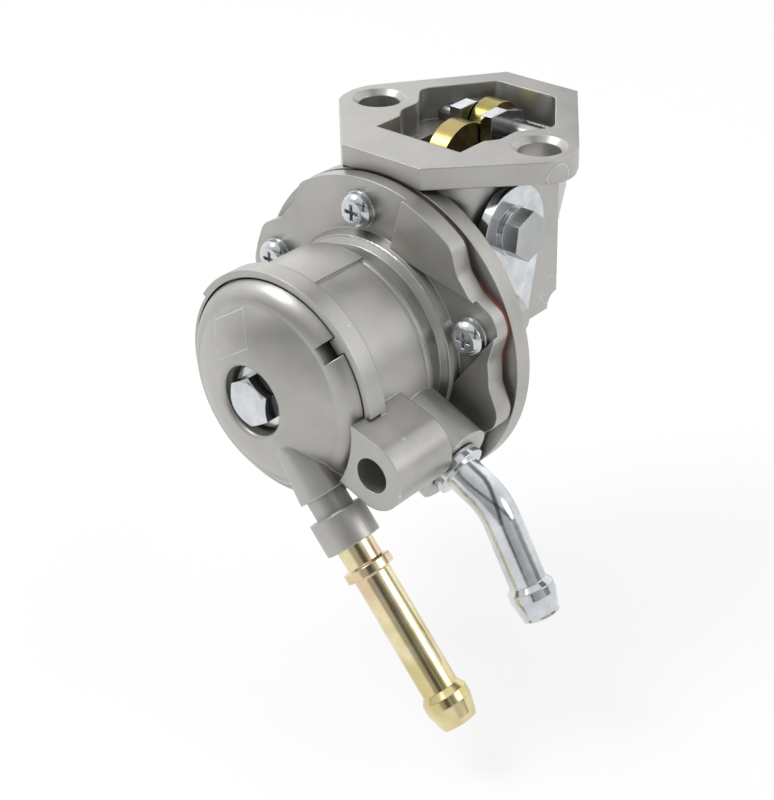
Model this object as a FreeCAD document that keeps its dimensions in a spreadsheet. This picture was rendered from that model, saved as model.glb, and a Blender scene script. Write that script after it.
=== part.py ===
import FreeCAD, Part
import math
import os
import re
import Sketcher
from FreeCAD import Placement, Rotation, Vector

# Diesel lift pump. The origin is the centre of the mounting face, midway between the two
# flange bolts: +Z leaves the face, X runs along the bolts, and -Y points to the cover.
# The pump axis lies along Y, axis_drop below the face. Pieces on that axis are drawn in a
# turned frame: its Z runs forward along the axis and its Y runs up.

DRIVING_SIZES = {
    "axis_drop": 41.0,
    # mounting flange
    "bolt_spacing": 46.0, "bolt_hole": 9.5, "bolt_chamfer": 1.3, "flange_plate": 5.0,
    "flange_half": 31.0, "flange_front": 25.8, "flange_front_half": 11.0,
    "flange_back": 31.8, "flange_back_half": 10.4, "flange_end_front": 5.2,
    "flange_end_back": 3.5, "flange_end_round": 8.0, "hole_boss": 16.4, "hole_boss_depth": 5.6,
    "skirt_depth": 17.5, "skirt_wall": 3.0,
    # opening in the mounting face
    "mouth_back": 25.7, "mouth_back_half": 8.5, "mouth_side": 19.5, "mouth_side_back": 10.4,
    "mouth_neck": 14.2, "mouth_neck_back": 3.6, "mouth_neck_front": 2.5,
    "mouth_front": 10.3, "mouth_front_half": 8.5, "mouth_depth": 8.0,
    # rocker housing
    "housing_half": 20.5, "housing_back": 11.0, "housing_depth": 43.7, "housing_round": 3.5,
    "corner_round": 9.5, "knee_relief": 2.4,
    "tail_back": 28.2, "tail_half": 10.4, "tail_depth": 22.5, "wall": 2.6,
    "cavity_half": 12.0, "cavity_front": 8.0, "sump_half": 13.0, "sump_room": 5.9,
    "sump_back": 10.8, "crank_room": 13.6, "crank_room_depth": 21.0, "finger_room": 10.5,
    "finger_room_depth": 31.0, "shelf_front": 4.0, "shelf_half": 4.5, "shelf_thick": 3.0,
    # round flange and diaphragm chamber
    "disc_diameter": 73.8, "disc_back": 21.1, "parting": 25.3,
    "chamber_mouth": 26.4, "chamber_floor": 16.0, "chamber_floor_at": 13.0,
    "chamber_waist": 17.2, "chamber_waist_at": 15.5,
    "shell_back": 8.0, "shell_back_radius": 17.0, "shell_waist": 20.3, "shell_waist_at": 14.9,
    "stem_bore": 5.4, "stem_diameter": 5.0, "seal_pocket": 13.0, "seal_back": 9.0,
    # screws round the flange
    "screw_circle": 29.85, "screw_thread": 4.0, "screw_hole": 4.4, "screw_boss": 10.0,
    "screw_head": 8.0, "screw_head_height": 2.6, "screw_back": 16.8,
    "spring_washer": 8.4, "spring_washer_thick": 0.9,
    # diaphragm and its plates
    "diaphragm_thick": 1.2, "diaphragm_inset": 0.4, "plate_diameter": 40.0, "plate_thick": 1.0,
    "button_diameter": 9.0, "button_thick": 1.8,
    # valve body
    "lobe_high": 36.8, "lobe_low": 33.7, "lobe_round": 4.5, "clamp_face": 29.8,
    "pad_face": 31.2, "step_ring": 24.0, "step_ring_at": 32.2, "waist_ring": 22.2,
    "waist_from": 33.2, "waist_at": 36.2, "drum_radius": 23.6, "drum_shoulder": 37.4,
    "bead_groove": 0.3, "patch_rise": 0.6, "collar_radius": 26.0, "collar_length": 4.7,
    "collar_lip": 2.2, "rim_bore": 24.4, "rim_depth": 3.5, "ledge_radius": 20.0, "bowl_radius": 18.6,
    "bowl_depth": 5.5, "bulkhead_depth": 15.5, "pump_room": 26.4, "pump_room_floor": 19.5,
    "pump_room_depth": 33.0, "post_radius": 5.6, "lug_hole": 7.8, "lug_radius": 7.8,
    "lug_side": 29.6, "lug_drop": 7.9, "lug_rise": 6.5, "lug_thick": 16.0, "lug_under": 99.5,
    "lug_over": 75.0, "lug_corner_side": 20.0, "lug_corner_rise": 2.9, "lug_foot_side": 17.0,
    "lug_foot_drop": 11.5, "lug_hole_depth": 9.0, "collar_flank": 25.1, "outlet_angle": 24.5, "outlet_well": 10.0, "outlet_radius": 9.2,
    "outlet_end": 36.2, "valve_circle": 9.8, "valve_well": 14.4, "port_diameter": 7.0,
    # valves
    "valve_disc": 11.0, "valve_disc_thick": 1.0, "valve_seat_thick": 3.0, "valve_lift": 1.6,
    # cover
    "cover_radius": 24.0, "cover_wall_radius": 19.6, "cover_edge": 2.1, "shoulder_radius": 20.0,
    "shoulder_rise": 5.6, "shoulder_round": 5.75, "dome_round": 32.0, "dome_rise": 10.5,
    "recess_radius": 7.7, "recess_depth": 4.4, "recess_round": 1.2, "cup_wall": 1.6,
    "cover_thick": 2.4, "gasket_thick": 0.6, "gasket_radius": 22.0, "key_angle": 41.85,
    "key_inner": 22.2, "key_clearance": 0.2, "notch_width": 4.0, "notch_inner": 20.7,
    "inlet_angle": 49.0, "inlet_rise": 6.0, "bulge_radius": 5.6, "bulge_from": 9.0, "neck_radius": 4.3,
    "inlet_boss_radius": 6.2, "inlet_boss_from": 28.6, "inlet_boss_end": 36.0,
    # cover bolt
    "bolt_across": 10.0, "bolt_head": 4.0, "bolt_thread": 6.0, "bolt_grip": 2.5,
    "bolt_washer": 14.0, "bolt_washer_thick": 1.2,
    # tubes
    "tube_diameter": 8.2, "tube_bore": 5.9, "tube_seat": 6.0, "bead_diameter": 10.8,
    "bead_width": 2.0, "inlet_bead": 42.0, "inlet_tip": 79.0, "barb_diameter": 10.2,
    "outlet_bead_diameter": 12.0, "outlet_bend": 48.2, "outlet_turn": 36.5,
    "outlet_bend_radius": 12.0, "outlet_leg": 26.0,
    # rocker mechanism
    "pivot_back": 16.5, "pivot_drop": 7.0, "pin_diameter": 5.0, "pin_half": 16.8,
    "arm_left": 5.0, "arm_right": 0.0, "arm_hub": 6.4, "arm_pad": 9.3, "arm_pad_back": 3.5,
    "arm_pad_drop": 11.2, "cheek": 3.2, "cheek_gap": 0.35, "link_hub": 5.6,
    "link_top_front": 8.0, "link_top": 0.9, "link_fork_back": 1.4, "link_fork_width": 5.0,
    "fork_reach": 3.6, "link_fork_thick": 2.4, "link_right": 7.4, "fork_slot_rise": 2.2,
    "running_gap": 0.1,
    # hand primer
    "primer_forward": 9.0, "primer_drop": 17.0, "primer_head": 10.4, "primer_tip": 5.6,
    "primer_length": 20.0, "primer_thick": 2.4, "primer_gap": 0.5, "primer_bolt_head": 3.6,
    "primer_washer": 11.4, "primer_washer_thick": 0.8, "primer_thread": 5.0, "spindle_diameter": 7.0,
    "spindle_inner": 4.0, "crank_length": 12.5, "crank_width": 2.4, "crank_thick": 3.0,
    "spindle_seal": 10.2, "spindle_seal_thick": 2.0,
    # springs
    "spring_radius": 13.0, "spring_wire": 1.6, "retainer_diameter": 30.0,
    "rocker_spring_radius": 2.9, "rocker_spring_forward": 9.6, "rocker_spring_wire": 0.9, "valve_spring_radius": 3.9,
    "valve_spring_wire": 0.6, "strainer_thick": 1.6,
}

SCREW_ANGLES = {"top": 94.0, "left": 159.0, "lower_left": 231.0, "lower_right": 306.0, "right": 18.0}
HIGH_SECTORS = ((-66, -42), (-17, -11), (17, 24), (50, 124), (152, 170), (218, 244))

# Places that follow from the sizes above, so that a longer piece moves what stands in front of it.
DERIVED_SIZES = {
    "link_end": "axis_drop + fork_reach",
    "sump_depth": "link_end + sump_room",
    "bulkhead": "pump_room_depth + bulkhead_depth",
    "outlet_at": "pump_room_depth + outlet_well - 1",
    "ledge_at": "bulkhead + bowl_depth",
    "land_at": "ledge_at + rim_depth",
    "collar_front": "land_at + collar_lip",
    "collar_back": "collar_front - collar_length",
    "lug_front": "land_at + lug_rise",
    "lug_back": "lug_front - lug_thick",
    "cover_edge_at": "land_at + cover_edge",
    "shoulder_at": "land_at + shoulder_rise",
    "dome_top": "land_at + dome_rise",
    "recess_floor": "dome_top - recess_depth",
    "inlet_at": "land_at + inlet_rise",
    "bolt_reach": "bulkhead + bolt_grip",
}

doc = FreeCAD.newDocument("diesel_fuel_pump")
sheet = doc.addObject("Spreadsheet::Sheet", "Dims")
for row, (alias, size) in enumerate(DRIVING_SIZES.items(), start=1):
    sheet.set(f"A{row}", alias)
    sheet.set(f"B{row}", str(size))
    sheet.setAlias(f"B{row}", alias)
doc.recompute()

AXIAL = Rotation(Vector(1, 0, 0), 90)
NODES = []


def bound(text):
    """Writes a size formula with its aliases pointing into the sheet."""
    def written(match):
        name = match[0]
        if name in DERIVED_SIZES:
            return f"({bound(DERIVED_SIZES[name])})"
        return "Dims." + name if name in DRIVING_SIZES else name
    return re.sub(r"[a-z]\w+", written, str(text))


def size(text):
    """Present value of a size formula."""
    return float(sheet.evalExpression(bound(text)))


def place(item, x="0", y="0", z="0", turn=None):
    item.Placement = Placement(Vector(size(x), size(y), size(z)), turn or Rotation())
    for axis, text in zip("xyz", (x, y, z)):
        item.setExpression(f"Placement.Base.{axis}", bound(text))


def new_body(label, axial=False):
    body = doc.addObject("PartDesign::Body", label)
    body.Label = label
    if axial:
        place(body, z="-axis_drop", turn=AXIAL)
    NODES.append(body)
    return body


def origin_plane(body, role):
    return next(f for f in body.Origin.OriginFeatures if f.Role == role + "_Plane")


def new_sketch(body, plane, offset="0"):
    sketch = body.newObject("Sketcher::SketchObject", "Sketch")
    sketch.AttachmentSupport = [(origin_plane(body, plane), "")]
    sketch.MapMode = "FlatFace"
    sketch.AttachmentOffset = Placement(Vector(0, 0, size(offset)), Rotation())
    sketch.setExpression("AttachmentOffset.Base.z", bound(offset))
    return sketch


def pin_point(sketch, edge, end, x, y):
    for kind, text, axis in (("DistanceX", x, -2), ("DistanceY", y, -1)):
        if abs(size(text)) < 1e-9:
            sketch.addConstraint(Sketcher.Constraint("PointOnObject", edge, end, axis))
            continue
        index = sketch.addConstraint(Sketcher.Constraint(kind, -1, 1, edge, end, size(text)))
        sketch.renameConstraint(index, f"size{index}")
        sketch.setExpression(f"Constraints.size{index}", bound(text))


def arc_between(start, end, radius):
    """Minor arc from start to end, counter-clockwise when the radius is positive."""
    chord = end - start
    rise = math.sqrt(max(radius * radius - chord.Length ** 2 / 4, 0))
    side = Vector(-chord.y, chord.x, 0).normalize() * math.copysign(1, radius)
    centre = (start + end) / 2 + side * rise
    middle = centre - side * abs(radius)
    return Part.Arc(start, middle, end)


def draw(sketch, corners):
    """Closed outline. A corner is (x, y), or (x, y, radius) when an arc leads to it."""
    points = [Vector(size(c[0]), size(c[1]), 0) for c in corners]
    first = sketch.GeometryCount
    for index, corner in enumerate(corners):
        start = points[index - 1]
        if len(corner) == 3:
            sketch.addGeometry(arc_between(start, points[index], size(corner[2])), False)
        else:
            sketch.addGeometry(Part.LineSegment(start, points[index]), False)
    count = len(corners)
    ends = [arc_ends(corner) for corner in corners]
    for index, corner in enumerate(corners):
        following = (index + 1) % count
        edge = first + index
        sketch.addConstraint(Sketcher.Constraint(
            "Coincident", edge, ends[index][1], first + following, ends[following][0]))
        pin_point(sketch, edge, ends[index][1], corner[0], corner[1])
        if len(corner) == 3:
            radius = sketch.addConstraint(Sketcher.Constraint("Radius", edge, abs(size(corner[2]))))
            sketch.renameConstraint(radius, f"size{radius}")
            sketch.setExpression(f"Constraints.size{radius}", bound(f"abs({corner[2]})"))


def arc_ends(corner):
    """Sketch point numbers of the edge that leads to this corner: a clockwise arc is stored reversed."""
    return (2, 1) if len(corner) == 3 and size(corner[2]) < 0 else (1, 2)


def ring(sketch, x, y, radius):
    edge = sketch.addGeometry(Part.Circle(Vector(size(x), size(y), 0), Vector(0, 0, 1), size(radius)), False)
    pin_point(sketch, edge, 3, x, y)
    index = sketch.addConstraint(Sketcher.Constraint("Radius", edge, size(radius)))
    sketch.renameConstraint(index, f"size{index}")
    sketch.setExpression(f"Constraints.size{index}", bound(radius))


def extrude(body, kind, sketch, length, reverse=False, taper=0.0):
    feature = body.newObject("PartDesign::" + kind, kind)
    feature.Profile = sketch
    feature.Length = size(length)
    feature.setExpression("Length", bound(length))
    feature.Reversed = reverse
    feature.TaperAngle = taper
    doc.recompute()
    return feature


def block(body, kind, plane, offset, length, corners, reverse=False, taper=0.0):
    sketch = new_sketch(body, plane, offset)
    draw(sketch, corners)
    return extrude(body, kind, sketch, length, reverse, taper)


def rod(body, kind, plane, offset, length, x, y, radius, reverse=False):
    sketch = new_sketch(body, plane, offset)
    ring(sketch, x, y, radius)
    return extrude(body, kind, sketch, length, reverse)


def turned(body, kind, profile, sector=None):
    """Turned form: profile corners are (radius, distance along the axis); a sector is (from, to) in degrees."""
    sketch = new_sketch(body, "XZ")
    draw(sketch, profile)
    feature = body.newObject("PartDesign::" + kind, kind)
    feature.Profile = sketch
    feature.ReferenceAxis = (sketch, ["V_Axis"])
    feature.Angle = 360.0
    if sector:
        sketch.AttachmentOffset = Placement(Vector(), Rotation(Vector(0, 1, 0), sum(sector) / 2))
        feature.Midplane = True
        feature.Angle = sector[1] - sector[0]
    doc.recompute()
    return feature


def soften(body, kind, chosen, amount):
    """Fillet or chamfer of the tip's edges for which chosen(edge) holds."""
    tip = body.Tip
    names = [f"Edge{i + 1}" for i, edge in enumerate(tip.Shape.Edges) if chosen(edge)]
    feature = body.newObject("PartDesign::" + kind, kind)
    feature.Base = (tip, names)
    name = "Radius" if kind == "Fillet" else "Size"
    setattr(feature, name, size(amount))
    feature.setExpression(name, bound(amount))
    doc.recompute()
    return feature


def mirrored_pairs(half):
    """Outline from its +X half, listed from front to back, with the other half mirrored."""
    return list(half) + [(f"-({x})", y) for x, y in reversed(half)]


def at_angle(radius, angle):
    return f"({radius}) * cos({angle})", f"({radius}) * sin({angle})"


def along(edge, direction):
    if not isinstance(edge.Curve, Part.Line):
        return False
    return abs(abs(edge.Curve.Direction.dot(direction)) - 1) < 1e-6


def tidy_ring(label, inner, outer, back, front):
    body = new_body(label, axial=True)
    turned(body, "Revolution", [(inner, back), (outer, back), (outer, front), (inner, front)])
    return body


def coil(label, radius, wire, height, turns, x, y, z, turn=None):
    """Round-wire compression spring of the given free height, its first coil at x, y, z."""
    helix = doc.addObject("Part::Helix", label + "_path")
    helix.setExpression("Radius", bound(radius))
    helix.setExpression("Height", bound(f"{height} - ({wire})"))
    helix.setExpression("Pitch", bound(f"({height} - ({wire})) / {turns}"))
    helix.SegmentLength = 0.25
    section = doc.addObject("Part::Circle", label + "_wire")
    pitch = (size(height) - size(wire)) / turns
    climb = math.degrees(math.atan(pitch / (2 * math.pi * size(radius))))
    place(section, x=radius, turn=Rotation(Vector(1, 0, 0), 90 + climb))
    section.setExpression("Radius", bound(f"({wire}) / 2"))
    doc.recompute()
    spring = doc.addObject("Part::Sweep", label)
    spring.Sections = [section]
    spring.Spine = (helix, [])
    spring.Solid = True
    spring.Frenet = True
    spring.Label = label
    place(spring, x, y, z, turn)
    NODES.append(spring)
    return spring


def round_flange(body):
    disc = "disc_diameter / 2"
    turned(body, "Revolution", [
        ("0", "shell_back"), ("shell_back_radius", "shell_back"), ("shell_waist", "shell_waist_at"),
        ("disc_diameter / 2 - 5", "disc_back - 1"), (f"{disc} - 5", "disc_back"), (disc, "disc_back"),
        (disc, "parting"), ("0", "parting")])
    for angle in SCREW_ANGLES.values():
        x, y = at_angle("screw_circle", angle)
        rod(body, "Pad", "XY", "screw_back", "disc_back - screw_back + 1", x, y, "screw_boss / 2")


def front_edge(x):
    """Reach of the flange's slanted front edge at x."""
    slope = "(flange_front - flange_end_front) / (flange_half - flange_front_half)"
    return f"flange_end_front + (flange_half - ({x})) * {slope}"


def back_edge(x):
    """Reach of the flange's slanted back edge at x."""
    slope = "(flange_back - flange_end_back) / (flange_half - flange_back_half)"
    return f"-flange_end_back - (flange_half - ({x})) * {slope}"


def skirt_hollow(body):
    """Room under the left end of the flange, inside its skirt."""
    near, far = "housing_half + 0.5", "flange_half - skirt_wall"
    front, back = "1.5 * skirt_wall", "1.8 * skirt_wall"
    block(body, "Pocket", "XZ", "skirt_depth - axis_drop", "skirt_depth - hole_boss_depth", [
        (f"-({near})", f"{front_edge(near)} - {front}"), (f"-({far})", f"{front_edge(far)} - {front}"),
        (f"-({far})", f"{back_edge(far)} + {back}"), (f"-({near})", f"{back_edge(near)} + {back}")])


def mounting_flange(body):
    block(body, "Pad", "XZ", "-axis_drop", "flange_plate", mirrored_pairs([
        ("flange_front_half", "flange_front"), ("flange_half", "flange_end_front"),
        ("flange_half", "-flange_end_back"), ("flange_back_half", "-flange_back")]))
    front, back = "flange_front_half + 1.5", "housing_half + 1.5"
    block(body, "Pad", "XZ", "-axis_drop", "skirt_depth", [
        (f"-({front})", front_edge(front)), ("-flange_half", "flange_end_front"),
        ("-flange_half", "-flange_end_back"), (f"-({back})", back_edge(back)),
        ("-(cavity_half + 1)", back_edge(back))])
    side = size("flange_half")
    soften(body, "Fillet", lambda e: along(e, Vector(0, 1, 0))
           and abs(abs(e.CenterOfMass.x) - side) < 0.01, "flange_end_round")
    for x in ("bolt_spacing / 2", "-bolt_spacing / 2"):
        rod(body, "Pad", "XZ", "-axis_drop", "hole_boss_depth", x, "0", "hole_boss / 2")
    skirt_hollow(body)


def rocker_housing(body):
    half = "housing_half"
    foot = "axis_drop - housing_depth"
    block(body, "Pad", "YZ", "-housing_half", "2 * housing_half", [
        ("axis_drop - 1", "disc_back + 0.5"), (foot, "disc_back + 0.5"),
        (foot, "housing_round - housing_back"),
        (f"{foot} + housing_round", "-housing_back", "-housing_round"), ("axis_drop - 1", "-housing_back")])
    block(body, "Pad", "XZ", "-axis_drop", "tail_depth", mirrored_pairs([
        (half, "-housing_back + 0.5"), (half, "-housing_back"), ("tail_half", "-tail_back")]))
    block(body, "Pad", "XZ", "-axis_drop", "sump_depth", mirrored_pairs([
        ("sump_half", "disc_back + 0.5"), ("sump_half", "-sump_back")]))
    near, far = "flange_front_half - 2", "flange_half + 2"
    block(body, "Pocket", "XZ", "-axis_drop", "housing_depth + 1", [
        (f"-({near})", front_edge(near)), (f"-({far})", front_edge(far)), (f"-({far})", front_edge(near))],
        reverse=True)
    side, front = size("housing_half"), size("disc_back + 0.5")
    soften(body, "Fillet", lambda e: along(e, Vector(0, 1, 0)) and abs(e.CenterOfMass.x - side) < 0.01
           and abs(e.CenterOfMass.z - front) < 0.01, "corner_round")


def cut_mouth(body):
    block(body, "Pocket", "XZ", "-axis_drop", "mouth_depth", mirrored_pairs([
        ("mouth_front_half", "mouth_front"), ("mouth_neck", "mouth_neck_front"),
        ("mouth_neck", "-mouth_neck_back"), ("mouth_side", "-mouth_side_back"),
        ("mouth_back_half", "-mouth_back")]), reverse=True)
    top = size("axis_drop")
    corner = size("mouth_back")
    inside = [size("mouth_front_half"), size("mouth_neck"), size("mouth_side"), size("mouth_back_half")]
    soften(body, "Fillet", lambda e: along(e, Vector(0, 1, 0))
           and abs(e.CenterOfMass.y - top + size("mouth_depth") / 2) < 0.01
           and -corner - 0.1 < e.CenterOfMass.z < size("mouth_front") + 0.1
           and min(abs(abs(e.CenterOfMass.x) - v) for v in inside) < 0.01, "3.0")


def cut_cavity(body):
    block(body, "Pocket", "XZ", "-axis_drop", "tail_depth - wall", mirrored_pairs([
        ("cavity_half", "cavity_front"), ("cavity_half", "-pivot_back"),
        ("mouth_back_half - 1", "-mouth_back + 0.6")]), reverse=True)
    inner = "cavity_half - 1.5"
    for depth, back in (("housing_depth", "housing_back"), ("sump_depth", "sump_back")):
        block(body, "Pocket", "XZ", "-axis_drop", f"{depth} - wall", mirrored_pairs([
            (inner, "cavity_front"), (inner, f"wall - {back}")]), reverse=True)
    floor, back = "axis_drop - tail_depth + wall", "wall - housing_back"
    block(body, "Pocket", "YZ", inner, f"2 * ({inner})", [
        (f"{floor} + 0.5", f"{back} - knee_relief"), (floor, f"{back} - knee_relief"),
        (f"{floor} - knee_relief", back), (f"{floor} - knee_relief", f"{back} + 0.5"),
        (f"{floor} + 0.5", f"{back} + 0.5")])
    block(body, "Pocket", "XZ", "-axis_drop", "crank_room_depth", mirrored_pairs([
        ("cavity_half", "crank_room"), ("cavity_half", "0")]), reverse=True)
    block(body, "Pocket", "XZ", "-axis_drop", "finger_room_depth", [
        ("1", "finger_room"), (inner, "finger_room"), (inner, "0"), ("1", "0")], reverse=True)
    spring_x = "-(arm_left - arm_right) / 2"
    block(body, "Pad", "XZ", "crank_room_depth - axis_drop", "shelf_thick", [
        (f"{spring_x} - shelf_half", "shelf_front"), (f"{spring_x} + shelf_half - 1", "shelf_front"),
        (f"{spring_x} + shelf_half - 1", "cavity_front + 1"), (f"{spring_x} - shelf_half", "cavity_front + 1")])


def cut_chamber(body):
    face = "disc_diameter / 2"
    turned(body, "Groove", [("0", "parting"), (face, "parting"), (face, "parting + 1"), ("0", "parting + 1")])
    turned(body, "Groove", [
        ("0", "chamber_floor_at"), ("chamber_floor", "chamber_floor_at"),
        ("chamber_waist", "chamber_waist_at"), ("chamber_mouth", "disc_back"),
        ("chamber_mouth", "parting + 1"), ("0", "parting + 1")])
    turned(body, "Groove", [
        ("0", "seal_back"), ("seal_pocket / 2", "seal_back"), ("seal_pocket / 2", "chamber_floor_at + 1"),
        ("0", "chamber_floor_at + 1")])
    turned(body, "Groove", [
        ("0", "0"), ("stem_bore / 2", "0"), ("stem_bore / 2", "seal_back + 1"), ("0", "seal_back + 1")])


def cut_body_holes(body):
    for x in ("bolt_spacing / 2", "-bolt_spacing / 2"):
        rod(body, "Pocket", "XZ", "-axis_drop", "hole_boss_depth + 1", x, "0", "bolt_hole / 2", reverse=True)
    top = size("axis_drop")
    hole = size("bolt_hole / 2")
    soften(body, "Chamfer", lambda e: isinstance(e.Curve, Part.Circle) and abs(e.Curve.Radius - hole) < 0.01
           and abs(e.CenterOfMass.y - top) < 0.01, "bolt_chamfer")
    rod(body, "Pocket", "YZ", "-pin_half - 0.1", "2 * pin_half + 0.2", "axis_drop - pivot_drop",
        "-pivot_back", "(pin_diameter + running_gap) / 2", reverse=True)
    rod(body, "Pocket", "YZ", "0", "flange_half", "axis_drop - primer_drop",
        "primer_forward", "(spindle_diameter + running_gap) / 2", reverse=True)
    rod(body, "Pocket", "YZ", "housing_half", "spindle_seal_thick + 0.3", "axis_drop - primer_drop",
        "primer_forward", "(spindle_seal + running_gap) / 2")
    for angle in SCREW_ANGLES.values():
        x, y = at_angle("screw_circle", angle)
        rod(body, "Pocket", "XY", "parting", "parting - screw_back + 1", x, y, "screw_thread / 2 + 0.02")


def pump_body():
    body = new_body("pump_body", axial=True)
    rocker_housing(body)
    mounting_flange(body)
    round_flange(body)
    cut_mouth(body)
    cut_cavity(body)
    cut_chamber(body)
    cut_body_holes(body)


def lobed_outline(inset="0"):
    """High arcs under the screws and the pad, low arcs between them, joined by slants."""
    high, low = f"lobe_high - {inset}", f"lobe_low - {inset}"
    corners = []
    for start, stop in HIGH_SECTORS:
        corners.append((*at_angle(high, start),))
        corners.append((*at_angle(high, stop), high))
        following = HIGH_SECTORS[(HIGH_SECTORS.index((start, stop)) + 1) % len(HIGH_SECTORS)][0]
        gap = (following - stop) % 360
        slant = min(9, gap / 3)
        corners.append((*at_angle(low, stop + slant),))
        corners.append((*at_angle(low, stop + gap - slant), low))
    return corners


def valve_flange(body):
    """Lobed clamping flange: its screws sit on lower land, with raised land left between two of them."""
    back = "parting + diaphragm_thick"
    block(body, "Pad", "XY", back, f"pad_face - ({back})", lobed_outline())
    soften(body, "Fillet", lambda e: along(e, Vector(0, 0, 1)), "lobe_round")
    right_screw = [at_angle("41.4", 22.1), at_angle("24", 65.4), at_angle("22", -24.9)]
    other_screws = [("0", "0")] + [at_angle("60", angle) for angle in (73.7, 136, 198, 261, 324)]
    for low_land in (right_screw, other_screws):
        block(body, "Pocket", "XY", "pad_face", "pad_face - clamp_face", low_land)


def drum(body):
    turned(body, "Revolution", [
        ("0", "clamp_face - 1"), ("step_ring + 0.8", "clamp_face - 1"), ("step_ring + 0.8", "clamp_face"),
        ("step_ring", "step_ring_at - 0.5"), ("step_ring - 0.5", "step_ring_at", "0.5"),
        ("waist_ring", "waist_from"), ("waist_ring", "waist_at"), ("drum_radius - 0.4", "drum_shoulder - 0.4"),
        ("drum_radius", "drum_shoulder"), ("drum_radius", "drum_shoulder + 1.2"),
        ("drum_radius - bead_groove", "drum_shoulder + 1.4"),
        ("drum_radius - bead_groove", "drum_shoulder + 1.7"), ("drum_radius", "drum_shoulder + 2"),
        ("drum_radius", "collar_back - 1"), ("collar_radius", "collar_back"),
        ("collar_radius", "collar_front"), ("0", "collar_front")])
    turned(body, "Revolution", [
        ("waist_ring - 1", "clamp_face"), ("drum_radius", "clamp_face"), ("drum_radius", "drum_shoulder + 1"),
        ("waist_ring - 1", "drum_shoulder + 1")], sector=(128, 218))
    patch = "drum_radius + patch_rise"
    turned(body, "Revolution", [
        ("waist_ring", "drum_shoulder + 0.6"), (patch, "drum_shoulder + 0.6"), (patch, "collar_back - 1"),
        ("waist_ring", "collar_back - 1")], sector=(77, 190))


def side_lug(body):
    """Lug that stands forward beside the cover, with its blind hole."""
    side, drop, radius = "lug_side", "-lug_drop", "lug_radius"
    block(body, "Pad", "XY", "lug_back", "lug_thick", [
        ("lug_foot_side", "-lug_foot_drop"),
        (f"{side} + {radius} * cos(lug_under)", f"{drop} - {radius} * sin(lug_under)"),
        (f"{side} + {radius}", drop, radius),
        (f"{side} + {radius} * cos(lug_over)", f"{drop} + {radius} * sin(lug_over)", radius),
        ("lug_corner_side", "lug_corner_rise")])
    rod(body, "Pocket", "XY", "lug_front", "lug_hole_depth", side, drop, "lug_hole / 2")


def radial_sketch(body, at, angle, corners, x="0", y="0"):
    """Closed outline in a plane across the pump axis, drawn from x, y with its X along the angle."""
    sketch = new_sketch(body, "XY", at)
    sketch.AttachmentOffset = Placement(
        Vector(size(x), size(y), size(at)), Rotation(Vector(0, 0, 1), size(angle)))
    sketch.setExpression("AttachmentOffset.Base.x", bound(x))
    sketch.setExpression("AttachmentOffset.Base.y", bound(y))
    sketch.setExpression("AttachmentOffset.Rotation.Angle", bound(angle))
    draw(sketch, corners)
    return sketch


def spun(body, kind, sketch):
    """Turns an outline about its own X line."""
    feature = body.newObject("PartDesign::" + kind, kind)
    feature.Profile = sketch
    feature.ReferenceAxis = (sketch, ["H_Axis"])
    feature.Angle = 360.0
    doc.recompute()


def radial_rod(body, kind, angle, at, inner, outer, radius, end_radius=None):
    """Round form along a radius of the pump axis; the angle is measured down from +X."""
    spun(body, kind, radial_sketch(body, at, f"-({angle})", [
        (inner, "0"), (outer, "0"), (outer, end_radius or radius), (inner, radius)]))


def valve_rooms(body):
    turned(body, "Groove", [
        ("0", "parting"), ("pump_room", "parting"), ("pump_room", "parting + diaphragm_thick + 0.6"),
        ("pump_room_floor", "pump_room_depth"), ("0", "pump_room_depth")])
    turned(body, "Groove", [
        ("post_radius", "bulkhead"), ("bowl_radius", "bulkhead"), ("bowl_radius", "ledge_at"),
        ("ledge_radius", "ledge_at"), ("ledge_radius", "land_at"), ("rim_bore", "land_at"),
        ("rim_bore", "lug_front + 1"), ("post_radius", "lug_front + 1")])
    turned(body, "Groove", [
        ("0", "land_at"), ("post_radius + 1", "land_at"), ("post_radius + 1", "collar_front + 1"),
        ("0", "collar_front + 1")])
    turned(body, "Groove", [
        ("0", "bolt_reach - 2"), ("bolt_thread / 2 + 0.02", "bolt_reach - 2"),
        ("bolt_thread / 2 + 0.02", "collar_front"), ("0", "collar_front")])


def valve_wells(body):
    x, y = at_angle("valve_circle", "-outlet_angle")
    rod(body, "Pocket", "XY", "pump_room_depth", "outlet_well", x, y, "valve_well / 2",
        reverse=True)
    x, y = at_angle("valve_circle", "180 - outlet_angle")
    rod(body, "Pocket", "XY", "bulkhead", "bulkhead_depth - 3.5", x, y, "valve_well / 2")
    rod(body, "Pocket", "XY", "bulkhead", "bulkhead_depth + 1", x, y, "port_diameter / 2")
    radial_rod(body, "Groove", "inlet_angle", "inlet_at", "gasket_radius", "collar_radius + 1", "neck_radius + 0.3")
    radial_rod(body, "Groove", "outlet_angle", "outlet_at", "valve_circle", "outlet_end + 1",
               "tube_diameter / 2 + running_gap / 2")


def locating_key(body):
    """Post on the collar that sits in the notch of the cover."""
    side = "(notch_width / 2 - key_clearance)"
    inner, outer = "key_inner", "rim_bore + 0.4"
    sketch = radial_sketch(body, "land_at - 1", "key_angle", [
        (inner, f"-{side}"), (outer, f"-{side}"), (outer, side), (inner, side)])
    extrude(body, "Pad", sketch, "collar_lip + 1")


def open_collar_side(body):
    """The collar is thick over the top only, and open where the lug and the cover's tube boss pass."""
    outer, front = "collar_radius + 1", "collar_front + 1"
    for inner, back, sector in (("rim_bore", "land_at - 1", (-65, 3.9)),
                                ("collar_flank", "collar_back - 2", (145, 295))):
        turned(body, "Groove", [(inner, back), (outer, back), (outer, front), (inner, front)], sector)


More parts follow.
